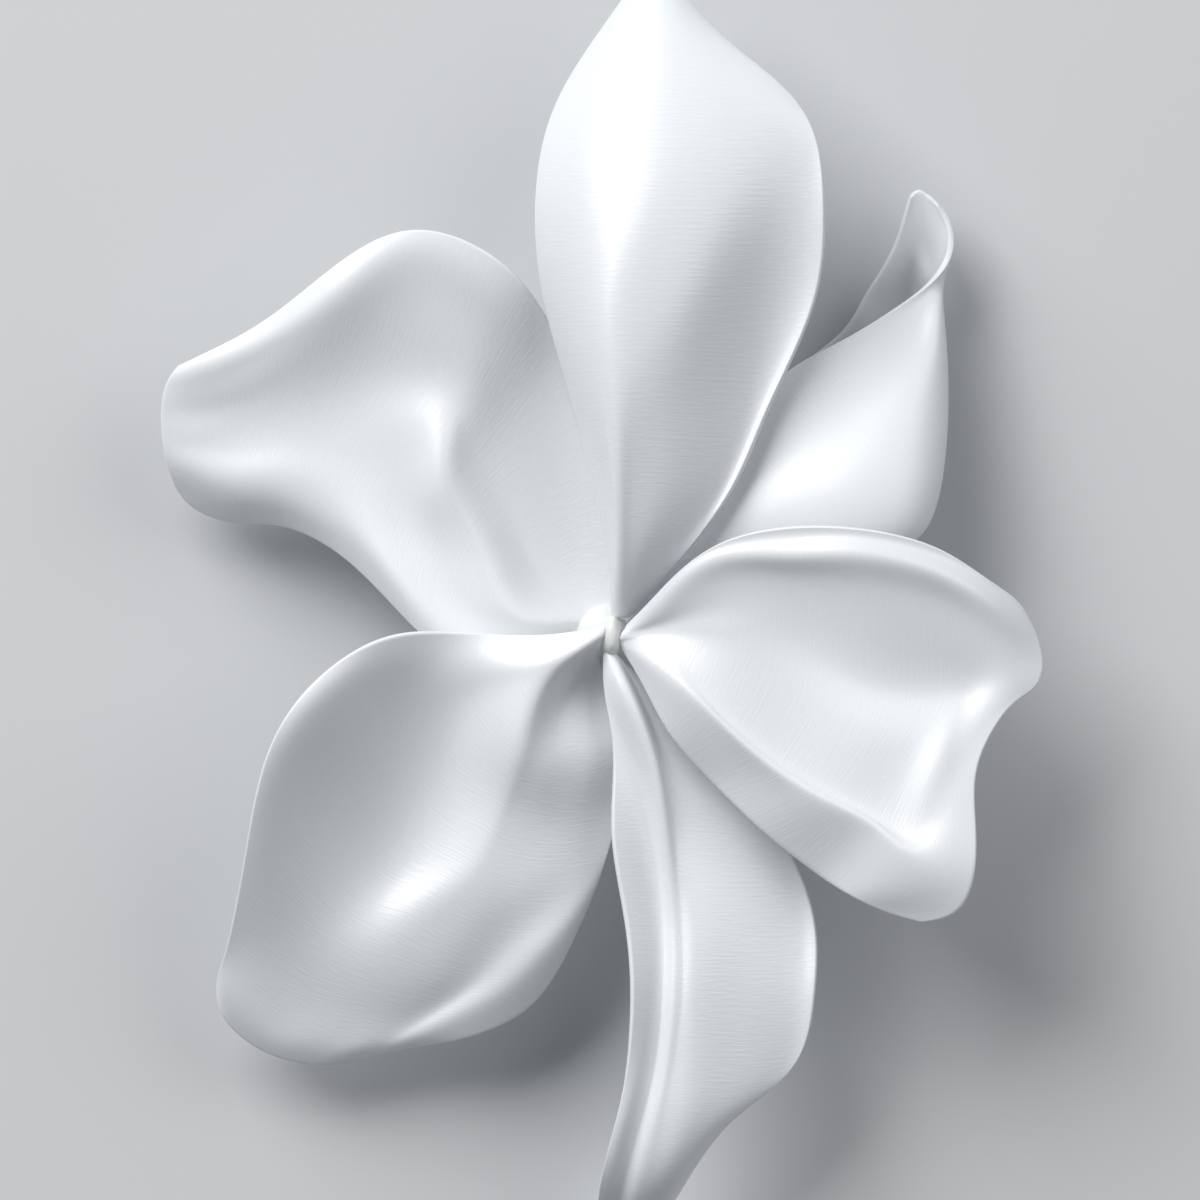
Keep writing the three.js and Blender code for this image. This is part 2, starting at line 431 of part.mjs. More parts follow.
// The rings of the tube from its flat lower end up: height, centre along x and y, half widths along
// x and y. The petals' claws stand on the shoulder, and the narrow nub closes the throat.
const TUBE_RINGS = [
  [0, 0, 0, TUBE_END_RADIUS - 0.4, TUBE_END_RADIUS - 0.4],
  [0.35, 0, 0, TUBE_END_RADIUS - 0.1, TUBE_END_RADIUS - 0.1],
  [1, 0, 0, TUBE_END_RADIUS, TUBE_END_RADIUS],
  [3.5, 0, 0, TUBE_WAIST_RADIUS + 0.1, TUBE_WAIST_RADIUS + 0.1],
  [6.5, 0, 0, TUBE_WAIST_RADIUS, TUBE_WAIST_RADIUS],
  [8.6, 0, 0, TUBE_MOUTH_RADIUS, TUBE_MOUTH_RADIUS],
  [TUBE_SHOULDER_HEIGHT - 1.5, 0, 0, TUBE_MOUTH_RADIUS - 0.4, TUBE_MOUTH_RADIUS - 0.4],
  [TUBE_SHOULDER_HEIGHT - 0.8, 0, 0, TUBE_MOUTH_RADIUS - 0.6, TUBE_MOUTH_RADIUS - 0.6],
  [TUBE_SHOULDER_HEIGHT - 0.3, 0, 0, TUBE_MOUTH_RADIUS - 0.9, TUBE_MOUTH_RADIUS - 0.9],
  [TUBE_SHOULDER_HEIGHT, -0.02, 0.05, 1.5, 1.55],
  [TUBE_SHOULDER_HEIGHT + 0.3, -0.03, 0.15, 1.2, 1.4],
  [TUBE_SHOULDER_HEIGHT + 0.7, -0.03, 0.25, 0.95, 1.35],
  [TUBE_SHOULDER_HEIGHT + 1.3, -0.03, 0.35, 0.7, 1.35],
  [NUB_TOP_HEIGHT - 0.6, -0.03, 0.35, 0.55, 1.25],
  [NUB_TOP_HEIGHT - 0.25, -0.03, 0.35, 0.42, 1.05],
  [NUB_TOP_HEIGHT - 0.07, -0.03, 0.35, 0.24, 0.7],
];

function ringPoints([height, centreX, centreY, halfX, halfY]) {
  const points = [];
  for (let k = 0; k < STEPS_ROUND_TUBE; k += 1) {
    const angle = (2 * Math.PI * k) / STEPS_ROUND_TUBE;
    points.push(new THREE.Vector3(
      centreX + halfX * Math.cos(angle), centreY + halfY * Math.sin(angle), height));
  }
  return points;
}

function corollaTube() {
  const points = TUBE_RINGS.flatMap(ringPoints);
  const triangles = [];
  for (let ring = 0; ring < TUBE_RINGS.length - 1; ring += 1) {
    for (let k = 0; k < STEPS_ROUND_TUBE; k += 1) {
      const a = ring * STEPS_ROUND_TUBE + k;
      const b = ring * STEPS_ROUND_TUBE + ((k + 1) % STEPS_ROUND_TUBE);
      const c = b + STEPS_ROUND_TUBE;
      const d = a + STEPS_ROUND_TUBE;
      triangles.push([a, b, c], [a, c, d]);
    }
  }
  const lowCentre = points.length;
  const topCentre = lowCentre + 1;
  const topRing = (TUBE_RINGS.length - 1) * STEPS_ROUND_TUBE;
  const [, nubX, nubY] = TUBE_RINGS[TUBE_RINGS.length - 1];
  points.push(new THREE.Vector3(0, 0, 0), new THREE.Vector3(nubX, nubY, NUB_TOP_HEIGHT));
  for (let k = 0; k < STEPS_ROUND_TUBE; k += 1) {
    const next = (k + 1) % STEPS_ROUND_TUBE;
    triangles.push([lowCentre, next, k], [topCentre, topRing + k, topRing + next]);
  }
  return geometryOf(points, triangles);
}

// ---- materials ---------------------------------------------------------------------------------

// Satin white, cool in the shade.
function petalMaterial() {
  return new THREE.MeshStandardMaterial({ color: 0xe9edf0, roughness: 0.4, metalness: 0 });
}

// The tube is a touch greener than the petals, as the hollow of the throat shows.
function tubeMaterial() {
  return new THREE.MeshStandardMaterial({ color: 0xe4e8dc, roughness: 0.45, metalness: 0 });
}

// ---- the flower --------------------------------------------------------------------------------

const PETALS = {
  petal_top: PETAL_TOP_LINES,
  petal_upper_right: PETAL_UPPER_RIGHT_LINES,
  petal_right: PETAL_RIGHT_LINES,
  petal_bottom: PETAL_BOTTOM_LINES,
  petal_lower_left: PETAL_LOWER_LEFT_LINES,
  petal_left: PETAL_LEFT_LINES,
};

const flower = new THREE.Group();

for (const [name, lines] of Object.entries(PETALS)) {
  const petal = new THREE.Mesh(petalSheet(lines), petalMaterial());
  petal.name = name;
  flower.add(petal);
}

const tube = new THREE.Mesh(corollaTube(), tubeMaterial());
tube.name = 'corolla_tube';
flower.add(tube);

export default flower;
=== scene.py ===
# %% [markdown]
# # A white frangipani flower, laid face up
#
# A picked flower is a small, hard subject: six thin petals, one narrow tube, and almost no colour.
# Everything that the eye reads is shape and sheen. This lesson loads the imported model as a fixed
# frame, draws each petal as a handful of named lines, lets a subdivision surface pass smoothly
# through them, and gives the petals a satin finish.

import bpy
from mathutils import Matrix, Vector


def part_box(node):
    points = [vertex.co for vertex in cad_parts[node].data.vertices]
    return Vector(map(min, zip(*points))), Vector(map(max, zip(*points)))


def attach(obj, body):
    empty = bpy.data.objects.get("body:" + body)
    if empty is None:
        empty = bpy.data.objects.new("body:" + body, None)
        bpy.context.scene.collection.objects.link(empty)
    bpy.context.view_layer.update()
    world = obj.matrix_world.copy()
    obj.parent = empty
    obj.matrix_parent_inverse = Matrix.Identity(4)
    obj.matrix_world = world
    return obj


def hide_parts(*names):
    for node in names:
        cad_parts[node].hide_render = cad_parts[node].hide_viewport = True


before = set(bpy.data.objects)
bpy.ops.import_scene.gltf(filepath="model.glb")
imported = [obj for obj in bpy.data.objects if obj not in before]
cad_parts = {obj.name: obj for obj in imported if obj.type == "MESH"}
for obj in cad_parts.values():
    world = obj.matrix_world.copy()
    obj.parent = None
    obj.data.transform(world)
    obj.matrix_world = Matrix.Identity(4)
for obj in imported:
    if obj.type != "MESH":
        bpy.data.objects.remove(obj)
print("nodes of the model:", sorted(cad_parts))

import bmesh
import bpy
from mathutils import Vector

MILLIMETRE = 0.001

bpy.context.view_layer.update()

# %% [markdown]
# ## From lines to a cage
#
# A petal is one smooth sheet. It could be sculpted by hand, but a sculpt can't be read back, and a
# lofted NURBS surface needs its own export. Here each petal is a few lines from the claw, where it
# leaves the tube, to the tip: its two margins, and the crests, folds and hollows between them. The
# lines are in millimetres, as the model was drawn.
#
# A subdivision surface on a plain grid of quads is a cubic B-spline, and it pulls away from its
# cage. So the cage has to stand a little outside the lines. The helper below finds that cage: it
# moves each inner point, sweep by sweep, until the smooth line passes through the wanted one.

# %% Helper: the cage points of one line
SMOOTHING_SWEEPS = 30


def cage_points(points):
    """The control points of the smooth line through the points, with its two ends held.

    Next to its control point b, between a and c, the line passes through (a + 4 b + c) / 6.
    """
    cage = [point.copy() for point in points]
    for _ in range(SMOOTHING_SWEEPS):
        for i in range(1, len(points) - 1):
            cage[i] = (6 * points[i] - cage[i - 1] - cage[i + 1]) / 4
    return cage


print("cage helper ready,", SMOOTHING_SWEEPS, "sweeps a line")

# %% Helper: the cage of a whole petal
CLAW_REACH = 0.6 * MILLIMETRE


def rooted_line(line):
    """A petal's line in metres, which starts a little further back, inside the tube's throat."""
    points = [Vector(point) * MILLIMETRE for point in line]
    points[0] += CLAW_REACH * (points[0] - points[1]).normalized()
    return points


def petal_cage(lines):
    """The grid of control points of a petal, as rows that cross it from the claw to the tip."""
    caged_lines = [cage_points(rooted_line(line)) for line in lines.values()]
    return [cage_points(row) for row in zip(*caged_lines)]


print("each claw starts", round(CLAW_REACH / MILLIMETRE, 1), "mm further in")

# %% [markdown]
# ## From a cage to a petal
#
# `bmesh.ops.create_grid` makes the quads and, with `calc_uvs`, a UV map that runs across the petal
# in U and from claw to tip in V. The grain of the petal follows that map later. The grid's corners
# stay at the cage's places, and three modifiers do the rest: a subdivision surface for the form,
# Solidify for the thin flesh, and one more subdivision that rounds the cut of the rim, which is
# what catches the light along every margin.

# %% Helpers: objects, pieces of the flower and their subdivision
def linked_object(name, data):
    """An object of the given data, at the origin of the scene."""
    made = bpy.data.objects.new(name, data)
    bpy.context.scene.collection.objects.link(made)
    return made


def piece_from(form, name):
    """A finished bmesh as a smooth piece of the flower, which rides on its only body."""
    for face in form.faces:
        face.smooth = True
    mesh_data = bpy.data.meshes.new(name)
    form.to_mesh(mesh_data)
    form.free()
    made = linked_object(name, mesh_data)
    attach(made, "root")
    return made


def add_subdivision(made, name, levels):
    """A subdivision surface that keeps a sheet's corners, at the same level seen and rendered."""
    modifier = made.modifiers.new(name, "SUBSURF")
    modifier.levels = levels
    modifier.render_levels = levels
    modifier.boundary_smooth = "PRESERVE_CORNERS"


print("object, piece and subdivision helpers ready")

# %% Helper: a petal from its lines
PETAL_THICKNESS = 0.42 * MILLIMETRE
FORM_LEVELS = 3
RIM_LEVELS = 1

# The grid may have any size at first, as each of its vertices then moves to its place in the cage.
GRID_HALF_SIDE = 0.5


def make_petal(node, lines):
    """The fine petal that stands for a CAD node, drawn through the named lines."""
    rows = petal_cage(lines)
    sheet = bmesh.new()
    sheet.loops.layers.uv.new("petal_uv")
    bmesh.ops.create_grid(
        sheet, x_segments=len(lines) - 1, y_segments=len(rows) - 1, size=GRID_HALF_SIDE,
        calc_uvs=True,
    )
    for vertex, place in zip(sheet.verts, (point for row in rows for point in row)):
        vertex.co = place
    petal = piece_from(sheet, node + "_skin")
    add_subdivision(petal, "form", FORM_LEVELS)
    flesh = petal.modifiers.new("flesh", "SOLIDIFY")
    flesh.thickness = PETAL_THICKNESS
    # With no offset, half of the flesh lies on each side of the sheet.
    flesh.offset = 0
    add_subdivision(petal, "rim", RIM_LEVELS)
    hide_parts(node)
    low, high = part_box(node)
    print(node, "cage", len(lines), "by", len(rows), "in CAD box, mm:",
          [round(side / MILLIMETRE, 1) for side in high - low])
    return petal


print("petals will be", round(PETAL_THICKNESS / MILLIMETRE, 2), "mm thick")

# %% [markdown]
# ## The top petal
#
# The longest petal lies over both its neighbours. A narrow pleat runs up its left side and widens
# into a broad plateau towards the tip, and the right side slopes down to a turned-up rim. A pleat
# could be a crease in an even sheet, but here its two feet and its back are lines of their own, so
# it can widen and flatten on its way to the tip.

# %% The top petal
PETAL_TOP_LINES = {
    "left_margin": [
        (0.05, 2.2, 12.3), (-0.15, 5.5, 12.9), (-1.1, 10.5, 12.9), (-2.75, 17, 12.4), (-4.75, 24, 12.2),
        (-5.4, 31, 12.7), (-4.2, 37.5, 11.8), (-1.2, 42.7, 11.4), (1.6, 46.6, 11.3),
    ],
    "left_slope": [
        (0.26, 2.14, 12.56), (0.02, 5.5, 13.7), (-0.62, 10.5, 14.1), (-1.95, 17, 14.4),
        (-3.4, 24, 14.6), (-4, 31, 14.5), (-3, 37.6, 13.4), (-0.3, 43, 12.6), (1.9, 47, 11.6),
    ],
    "pleat_foot": [
        (0.47, 2.1, 12.74), (0.28, 5.5, 14.6), (-0.05, 10.5, 15.6), (-1.05, 17, 16.6), (-1.6, 24, 17.2),
        (-1.6, 31, 16.8), (-0.8, 37.8, 15.3), (0.9, 43.3, 13.6), (2.2, 47.4, 11.8),
    ],
    "pleat": [
        (0.68, 2.08, 12.84), (0.62, 5.5, 15.2), (0.4, 10.5, 17), (0, 17, 18.2), (0, 24, 18.5),
        (1.4, 31, 17.9), (2, 38, 16.3), (2.3, 43.6, 14.3), (2.6, 47.7, 12),
    ],
    "plateau": [
        (0.88, 2.08, 12.86), (1.1, 5.5, 15.2), (1.3, 10.5, 16.9), (1.7, 17, 18.1), (2.9, 24, 18.4),
        (4.2, 31, 17.9), (5.2, 38, 16.3), (3.8, 43.7, 14.4), (3, 47.85, 12.1),
    ],
    "right_slope": [
        (1.08, 2.1, 12.8), (1.8, 5.45, 15), (3.4, 10.4, 16.3), (4.8, 16.9, 16.8), (6.2, 24, 17.4),
        (8, 31, 17), (8.2, 38, 15.9), (5.2, 43.6, 14.2), (3.4, 47.8, 12.1),
    ],
    "right_trough": [
        (1.28, 2.14, 12.66), (2.6, 5.35, 14.5), (5.8, 10.2, 14.9), (8.6, 16.7, 14.4), (10.2, 24, 14.8),
        (11.4, 31, 15.6), (10.9, 37.9, 15.3), (6.4, 43.3, 13.8), (3.8, 47.6, 12.1),
    ],
    "right_rim": [
        (1.48, 2.21, 12.44), (3.4, 5.2, 13.9), (7.4, 10.2, 13.9), (10.4, 16.6, 13.6), (13, 24, 14),
        (13.8, 31, 15.1), (12.7, 37.7, 14.8), (7.4, 42.9, 13.4), (4.2, 47.2, 12),
    ],
    "right_margin": [
        (1.67, 2.3, 12.15), (4.1, 5.05, 13.4), (8.3, 10.3, 14), (11.2, 16.6, 13.9), (14.4, 24, 14.4),
        (15.1, 31, 15.4), (13.6, 37.5, 14.5), (8.2, 42.5, 13), (4.5, 46.7, 11.9),
    ],
}
petal_top = make_petal("petal_top", PETAL_TOP_LINES)

# %% [markdown]
# ## The upper right petal
#
# It is rolled along its length, like a calla. Its near half is looked at from outside, and behind
# the keel its far half passes underneath and lies on the surface. A bend modifier would roll a flat
# petal evenly. The lines follow the roll round instead, as it is tight at the tip and open at the
# claw.

# %% The upper right petal
PETAL_UPPER_RIGHT_LINES = {
    "near_margin": [
        (1.23, 1.6, 11.1), (3, 6.4, 11.5), (6, 12, 11.8), (9.8, 16.6, 12), (13, 19.5, 11.4),
        (16.8, 21.6, 10), (20.2, 23.7, 8.2), (22.4, 25.3, 7.2), (23.95, 27.2, 6.2), (24.25, 29.3, 5.2),
        (23.4, 31.2, 4.6),
    ],
    "near_lip": [
        (1.34, 1.51, 11.17), (3.7, 6.2, 11.65), (7, 11.4, 11.7), (11, 15.6, 11.8), (14.4, 18.2, 11.2),
        (17.9, 20.3, 10), (20.9, 22.8, 8.1), (22.7, 24.9, 7), (23.9, 26.9, 5.8), (24, 29.3, 4.8),
        (23.1, 31.5, 4.5),
    ],
    "near_face": [
        (1.44, 1.42, 11.2), (4.6, 5.8, 11.8), (8.6, 10.2, 11.9), (13.2, 13.2, 12.1), (16.8, 15.4, 11.6),
        (19.7, 18.2, 10.4), (21.9, 21.4, 8.5), (23.05, 24.3, 7.1), (23.75, 26.6, 5.2),
        (23.6, 29.3, 4.4), (22.8, 31.8, 4.4),
    ],
    "near_belly": [
        (1.53, 1.32, 11.2), (5.5, 5.2, 11.6), (10.2, 8.4, 12.4), (15.6, 10.2, 13.1), (19.4, 12.2, 12.6),
        (21.6, 15.8, 11), (22.9, 19.8, 8.9), (23.4, 23.6, 7.2), (23.5, 26.4, 4.5), (23.1, 29.3, 4),
        (22.5, 32, 4.3),
    ],
    "keel": [
        (1.61, 1.22, 11.17), (6.3, 4.4, 10.95), (11.8, 6.2, 11.9), (18, 6.8, 12.4), (21.9, 8.4, 11.6),
        (23.4, 13, 9.9), (23.8, 18, 7.8), (23.6, 22.8, 6.3), (23.1, 26.4, 3.7), (22.6, 29.4, 3.7),
        (22.2, 32.2, 4.3),
    ],
    "far_turn": [
        (1.68, 1.11, 11.1), (6.2, 3.9, 9.8), (11.6, 5.6, 9.8), (17.6, 6.6, 8.8), (21.4, 8.6, 7.4),
        (23, 13.2, 6), (23.4, 18.2, 4.4), (23.2, 22.9, 3.8), (22.5, 26.8, 3), (22.1, 29.5, 3.6),
        (21.9, 32.25, 4.3),
    ],
    "far_belly": [
        (1.74, 0.99, 10.98), (5.4, 4.2, 9), (9.4, 7.4, 7.4), (14.2, 10.4, 5.4), (17.8, 13.4, 2.6),
        (20.4, 17.4, 1), (21.4, 21.4, 0.22), (21.6, 24.6, 0.9), (21.5, 27.6, 2.8), (21.5, 29.7, 3.7),
        (21.6, 32.1, 4.3),
    ],
    "far_margin": [
        (1.8, 0.87, 10.85), (4.4, 5.2, 9), (6.6, 10.8, 7.2), (10, 16, 5.6), (13.4, 19.6, 4),
        (16.5, 22.2, 3.6), (18, 24.5, 3.5), (19.2, 26.3, 3.7), (20.2, 28.2, 3.9), (20.8, 30, 4.1),
        (21.35, 31.8, 4.3),
    ],
}
petal_upper_right = make_petal("petal_upper_right", PETAL_UPPER_RIGHT_LINES)

# %% [markdown]
# ## The right petal
#
# It lies over both its neighbours too. Three crests fan out from the claw, with a hollow valley
# below the top one, and the outer margin has a notch between two lobes. The lines fan out with the
# crests, so that each crest runs along one row of the grid and stays crisp with few points.

# %% The right petal
PETAL_RIGHT_LINES = {
    "top_margin": [
        (1.4, 1.25, 12.95), (3.3, 3.3, 14.4), (6.9, 6.5, 15.85), (12, 8, 16.2), (17.5, 7.95, 16.5),
        (22.8, 6.7, 15.7), (26.4, 4.5, 14.6), (28.5, 2.9, 13.3), (29.3, 1.8, 12.6),
    ],
    "top_strip": [
        (1.37, 1.12, 13), (3.4, 3.1, 14.5), (7.1, 6.15, 15.9), (12.3, 7.1, 16.15), (17.6, 7.1, 16.5),
        (22.9, 5.8, 15.75), (26.4, 3.9, 14.8), (28.7, 2.3, 13.55), (29.8, 0.95, 12.75),
    ],
    "top_crest": [
        (1.33, 0.98, 13.05), (3.58, 2.75, 14.6), (7.45, 5.55, 16), (12.7, 6, 16.5), (17.8, 6, 16.95),
        (23, 4.7, 16.2), (26.5, 2.8, 15.2), (28.9, 1.1, 13.85), (30.3, -0.1, 12.9),
    ],
    "valley_wall": [
        (1.26, 0.78, 13.11), (3.85, 2.15, 14.45), (8, 4.4, 15.5), (13.1, 4.7, 15.75),
        (18.3, 4.3, 16.15), (23.4, 2.9, 15.4), (26.7, 1, 14.7), (29, -0.8, 13.75), (30.65, -1.7, 12.95),
    ],
    "valley_floor": [
        (1.19, 0.56, 13.14), (4.1, 1.45, 14.1), (8.6, 2.5, 15.05), (13.6, 2.3, 15), (18.8, 1.2, 15.2),
        (23.7, -0.2, 14.6), (26.6, -1.6, 14.1), (28.4, -2.7, 13.9), (30.1, -3.4, 13.3),
    ],
    "valley_rise": [
        (1.13, 0.35, 13.13), (4.2, 0.8, 14), (8.7, 0.8, 14.95), (13.7, -0.8, 14.6), (18.9, -3.2, 14.4),
        (23.5, -3.8, 14.1), (25.2, -4.4, 14.1), (26.4, -5, 14.4), (28.2, -4.9, 14),
    ],
    "middle_crest": [
        (1.07, 0.14, 13.08), (4.15, 0.1, 14.05), (8.4, -1.2, 14.95), (13.2, -4, 15.05),
        (18.2, -6.3, 15.35), (21.7, -7.5, 15.4), (23.2, -8.4, 15.8), (24.4, -9, 15.6),
        (26.1, -8.6, 15.2),
    ],
    "plateau": [
        (1.02, -0.07, 12.99), (3.9, -0.7, 14.3), (7.05, -4.1, 15.35), (11.2, -7.6, 15.55),
        (15.5, -10.3, 15.85), (19, -12.3, 16.05), (21.4, -13.6, 16.5), (23.9, -12.6, 16.5),
        (25.8, -12.4, 16.1),
    ],
    "lower_crest": [
        (0.98, -0.29, 12.86), (3.4, -1.6, 14.5), (6.6, -4.7, 15.8), (10.6, -8.4, 16.1),
        (14.8, -11.1, 16.5), (18.4, -13, 16.75), (20.8, -15, 17.2), (23.4, -16, 17.2),
        (25.8, -16.2, 16.8),
    ],
    "lower_slope": [
        (0.95, -0.51, 12.69), (2.9, -2.25, 14.2), (5.8, -5.4, 15.15), (9.5, -9, 15.2),
        (13.4, -12, 15.8), (17, -14.4, 15.8), (19, -17, 16.2), (21.9, -18.2, 16.5), (24.6, -19.2, 16.4),
    ],
    "lower_margin": [
        (0.93, -0.73, 12.48), (2.35, -3.3, 13.2), (4.2, -6.8, 13.7), (7.1, -10.1, 13.4),
        (10.6, -13.5, 14), (14.5, -16.6, 13.9), (17, -18.15, 14.8), (19.6, -19.35, 15.2),
        (22, -20, 15.6),
    ],
}
petal_right = make_petal("petal_right", PETAL_RIGHT_LINES)

# %% [markdown]
# ## The bottom petal
#
# It is narrow. A pleat runs down its left side with a gutter beside it, its right half lies under
# the right petal, and its tip rests on the surface. The pleat could be a second strip laid on top,
# but the real petal is folded out of one sheet, and so is this one.

# %% The bottom petal
PETAL_BOTTOM_LINES = {
    "left_margin": [
        (-0.45, -1.5, 12.2), (-0.4, -4, 12.3), (0.1, -8.5, 12.6), (0, -13.8, 13.4), (0.85, -19.5, 13.7),
        (1.35, -25, 14.1), (1, -30.5, 13.6), (0.05, -35, 13), (-1, -40, 9.7), (0, -43.1, 0.25),
    ],
    "gutter": [
        (-0.3, -1.42, 12.33), (0, -4, 12.65), (0.9, -8.5, 12.4), (1.2, -13.7, 12.7),
        (2.2, -19.5, 12.75), (2.5, -25, 13.25), (1.9, -30.5, 13.2), (0.8, -35, 12.9),
        (-0.3, -40.2, 9.6), (0.25, -43.3, 0.25),
    ],
    "pleat_foot": [
        (-0.15, -1.37, 12.42), (0.55, -4, 13.1), (1.8, -8.5, 12.6), (2.7, -13.6, 12.1),
        (3.5, -19.5, 11.95), (3.6, -25, 12.5), (3, -30.5, 12.4), (1.8, -35.1, 12.2), (0.5, -40.4, 9.3),
        (0.5, -43.5, 0.25),
    ],
    "pleat": [
        (0, -1.34, 12.46), (1.2, -4.02, 13.35), (2.75, -8.5, 13.2), (3.6, -13.5, 12.75),
        (4.25, -19.5, 12.45), (4.3, -25, 13.05), (3.7, -30.5, 13), (2.6, -35.2, 12.7),
        (1.2, -40.6, 9.6), (0.8, -43.65, 0.25),
    ],
    "pleat_drop": [
        (0.15, -1.34, 12.44), (1.6, -4.12, 12.75), (3.2, -8.6, 12.75), (4.15, -13.6, 12.4),
        (4.9, -19.5, 12.4), (5, -25, 13), (4.4, -30.5, 13.05), (3.4, -35.3, 12.8), (1.9, -40.7, 9.7),
        (1.1, -43.7, 0.25),
    ],
    "second_fold": [
        (0.3, -1.37, 12.35), (1.9, -4.25, 11.95), (3.65, -8.75, 12.1), (5, -13.7, 11.9),
        (5.8, -19.5, 12.5), (5.9, -25, 13.1), (5.8, -30.6, 13.1), (4.6, -35.4, 12.8), (2.6, -40.6, 9.6),
        (1.4, -43.7, 0.25),
    ],
    "face": [
        (0.44, -1.43, 12.19), (2.35, -4.4, 11.5), (4.5, -8.95, 11.6), (6.7, -13.8, 11.3),
        (7.8, -19.6, 11.9), (8, -25, 12.4), (8, -30.7, 12.4), (5.7, -35.4, 12.5), (3.2, -40.5, 9.4),
        (1.7, -43.6, 0.25),
    ],
    "right_face": [
        (0.57, -1.52, 11.97), (2.9, -4.65, 11.15), (5.8, -9.2, 11.1), (8.7, -13.9, 10.9),
        (10.4, -19.6, 10.9), (10.6, -25, 11.4), (10.2, -30.7, 11.5), (6.6, -35.2, 12.1),
        (3.8, -40.3, 9.1), (2, -43.45, 0.25),
    ],
    "right_rim": [
        (0.7, -1.64, 11.7), (3.55, -4.9, 10.85), (7, -9.4, 10.7), (10.4, -13.9, 10.7),
        (13, -19.5, 10.1), (13, -25, 10.6), (12, -30.5, 10.7), (7.5, -34.8, 11.6), (4.2, -40, 8.7),
        (2.3, -43.2, 0.25),
    ],
    "right_margin": [
        (0.82, -1.8, 11.4), (4.2, -5.1, 10.6), (7.9, -9.6, 10.4), (11.8, -13.8, 10.6),
        (14.35, -19.4, 10.3), (14.5, -25, 10.8), (13, -30.3, 10.4), (8.3, -34.3, 11.1),
        (4.55, -39.6, 8.3), (2.55, -42.9, 0.25),
    ],
}
petal_bottom = make_petal("petal_bottom", PETAL_BOTTOM_LINES)

# %% [markdown]
# ## The lower left petal
#
# This one is a broad spoon. The upper margin is rolled at the claw, a crest runs diagonally down
# the middle, and a small ridge follows the inner margin. A lattice could pull such a cup out of a
# flat sheet, but lines keep its depth readable as numbers.

# %% The lower left petal
PETAL_LOWER_LEFT_LINES = {
    "outer_margin": [
        (-0.95, 0.85, 12.95), (-4.5, 0.35, 12.4), (-9.5, 0.45, 11.8), (-15.5, 0.4, 14),
        (-20.8, -2.6, 15.4), (-24.5, -8, 15.2), (-26.2, -15.5, 12.2), (-27.4, -21.4, 8.8),
        (-28, -23.6, 7.5), (-28.1, -25, 6.6),
    ],
    "outer_rim": [
        (-0.97, 0.65, 13.1), (-4.6, -0.5, 13), (-9.6, -0.8, 12.1), (-15.2, -1.6, 13.1),
        (-19.8, -4.2, 14.9), (-23.4, -9.6, 14.2), (-25, -16.8, 11.4), (-26.4, -22.2, 8.5),
        (-27.5, -24.9, 7.3), (-27.9, -26.6, 6.3),
    ],
    "cup_wall": [
        (-0.98, 0.45, 13.19), (-4.6, -1.3, 13.5), (-9.4, -2.4, 12.1), (-14.3, -4.4, 11.3),
        (-17.6, -8.2, 11.3), (-20.6, -13, 10.9), (-22.6, -19, 9.7), (-24.8, -23.6, 8),
        (-26.3, -26.4, 6.9), (-27, -27.9, 5.9),
    ],
    "cup_floor": [
        (-0.99, 0.25, 13.22), (-4.5, -2, 13.6), (-8.8, -4.6, 11.9), (-11.9, -8.6, 9.8),
        (-14.4, -13.2, 8.7), (-17, -17.2, 8.4), (-20, -21, 8.5), (-22.6, -25, 7.4), (-24.5, -27.7, 6.5),
        (-25.6, -29, 5.5),
    ],
    "crest": [
        (-1, 0.05, 13.18), (-4.35, -2.65, 13.3), (-7, -7, 12.9), (-8.6, -11, 11.1), (-10.8, -15.4, 10),
        (-13.6, -18.4, 9.3), (-17.4, -22.4, 8.3), (-20.2, -26, 7), (-22.4, -28.5, 6.3),
        (-23.9, -29.8, 5.3),
    ],
    "crest_drop": [
        (-1.02, -0.15, 13.07), (-4.1, -3.05, 12.3), (-5.8, -7.9, 12.6), (-7.2, -11.9, 11.3),
        (-9.2, -16.4, 10.5), (-11.8, -19.6, 9.5), (-15, -23.4, 8.2), (-17.8, -26.6, 6.8),
        (-20.2, -28.9, 6.1), (-22.2, -30.2, 5.2),
    ],
    "hollow": [
        (-1.05, -0.35, 12.89), (-3.4, -3.4, 11), (-4.4, -8.2, 11.8), (-5.4, -12.4, 10.9),
        (-7.4, -17, 10.4), (-9.8, -20.6, 9.3), (-12.4, -24.2, 7.9), (-15.6, -27, 6.6), (-18.2, -29, 6),
        (-20.4, -30.3, 5.1),
    ],
    "inner_face": [
        (-1.09, -0.55, 12.64), (-2.3, -3.6, 10.5), (-2.8, -8.2, 11), (-3.4, -12.6, 10.2),
        (-5, -17.3, 10.1), (-7.4, -21.4, 9), (-10, -24.6, 7.6), (-13.6, -27.2, 6.5),
        (-16.2, -28.8, 5.9), (-18.6, -30.05, 5),
    ],
    "inner_rim": [
        (-1.13, -0.75, 12.34), (-1.2, -3.6, 10.2), (-1, -7.9, 10.4), (-1.2, -12.2, 9.4), (-2, -17, 9.4),
        (-4.6, -21.4, 9.5), (-7.6, -24.8, 8.2), (-11.6, -27.2, 6.9), (-14.2, -28.5, 6.1),
        (-16.8, -29.55, 5.2),
    ],
    "inner_margin": [
        (-1.18, -0.95, 12), (-0.3, -3.5, 10), (0.6, -7.2, 10), (0.6, -11.6, 8.8), (-0.9, -16.8, 8.9),
        (-3, -21.8, 8.4), (-5.9, -26.2, 6.9), (-10, -28.3, 6.2), (-12.6, -28.8, 5.7), (-15, -29.1, 5.3),
    ],
}
